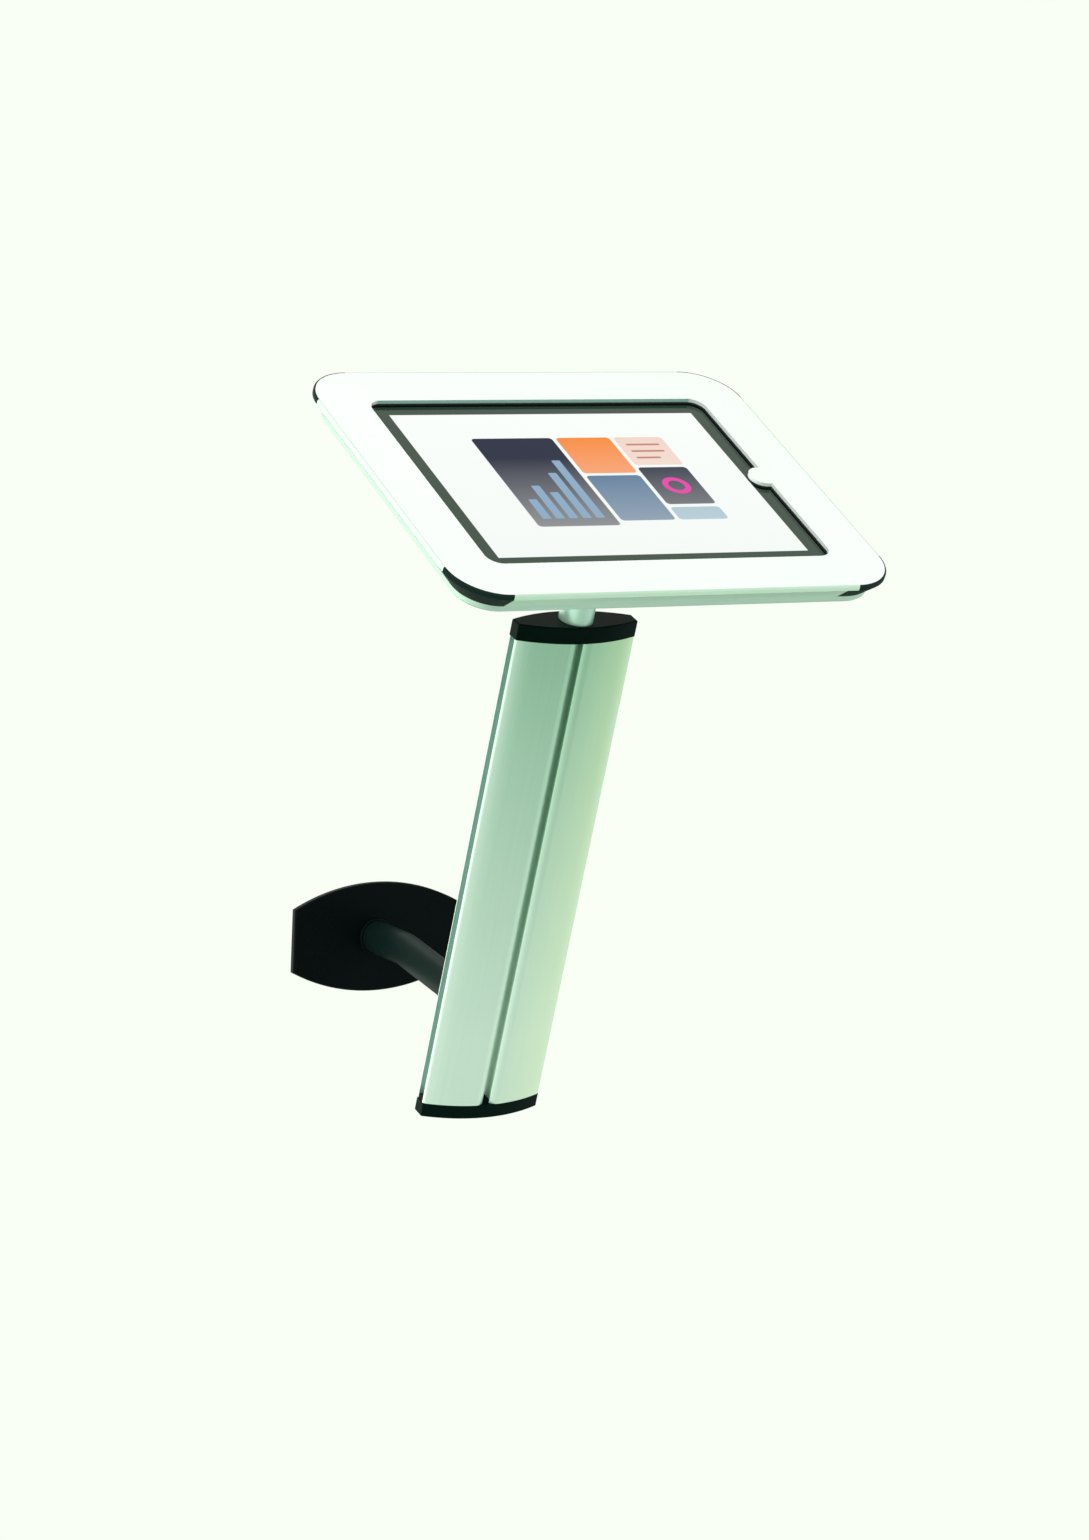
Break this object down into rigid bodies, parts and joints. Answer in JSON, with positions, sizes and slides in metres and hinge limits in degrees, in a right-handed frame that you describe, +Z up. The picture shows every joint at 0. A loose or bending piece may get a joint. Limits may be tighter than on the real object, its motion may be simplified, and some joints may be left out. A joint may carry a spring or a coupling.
{
  "type": "wall-mounted tablet holder",
  "caption": "Wall-mounted holder on a bent arm: a leaning extruded column carries a tablet enclosure that tilts and swivels.",
  "frame": {"origin": "centre of the wall plate's back face, on the wall", "axes": "+Y into the wall, +X along the wall to the right as seen from the front, +Z up; the holder reaches out along -Y"},
  "size_m": [0.2774, 0.3555, 0.4404],
  "materials": {
    "black_steel": "satin black powder coat",
    "bright_steel": "zinc plated",
    "silver_aluminium": "satin anodised",
    "pale_aluminium": "satin",
    "silver_metal": "satin white silver",
    "black_plastic": "satin moulded",
    "friction_plastic": "plain",
    "white_paint": "smooth white",
    "foam": "closed cell foam",
    "tablet_shell": "bead blasted",
    "display_glass": "display behind glass",
    "black_glass": "clear glass with a black border"
  },
  "bodies": {
    "base": {"wall_plate": "black_steel", "screw_covers": "black_plastic", "arm_tube": "black_steel", "column_saddle": "black_steel", "saddle_screws": "bright_steel", "slot_nuts": "bright_steel", "column_profile": "silver_aluminium", "top_cap": "black_plastic", "bottom_cap": "black_plastic", "neck_stud": "bright_steel", "neck_tube": "silver_metal", "neck_knuckle": "silver_metal"},
    "tilt": {"tilt_fork": "black_steel", "tilt_pin": "bright_steel", "tilt_nut": "bright_steel", "tilt_washers": "friction_plastic", "swivel_washer": "friction_plastic", "swivel_spring": "bright_steel", "swivel_bolt": "bright_steel"},
    "head": {"swivel_plate": "black_steel", "swivel_screws": "bright_steel", "rail_right": "silver_aluminium", "rail_back": "silver_aluminium", "rail_left": "silver_aluminium", "rail_front": "silver_aluminium", "corner_back_right": "black_plastic", "corner_back_left": "black_plastic", "corner_front_left": "black_plastic", "corner_front_right": "black_plastic", "front_panel": "white_paint", "back_tray": "pale_aluminium", "corner_screws": "bright_steel", "cushion_pads": "foam", "side_bumpers": "foam", "tablet_back": "tablet_shell", "battery_cells": "black_plastic", "display_panel": "display_glass", "tablet_glass": "black_glass"},
    "button": {"home_button": "black_plastic"}
  },
  "joints": [
    {"name": "tilt_hinge", "type": "hinge", "parent": "base", "child": "tilt", "pos_m": [0, -0.24374, 0.26812], "axis": [1, 0, 0], "range_deg": [-25, 35]},
    {"name": "swivel_hinge", "type": "hinge", "parent": "tilt", "child": "head", "pos_m": [0, -0.25011, 0.30774], "axis": [0, -0.4305, 0.9026], "range_deg": [-90, 90]},
    {"name": "home_press", "type": "slide", "parent": "head", "child": "button", "axis": [0, 0.4305, -0.9026], "range_m": [0, 0.0003], "stiffness_N_per_m": 1500, "springref_m": -0.0004}
  ]
}
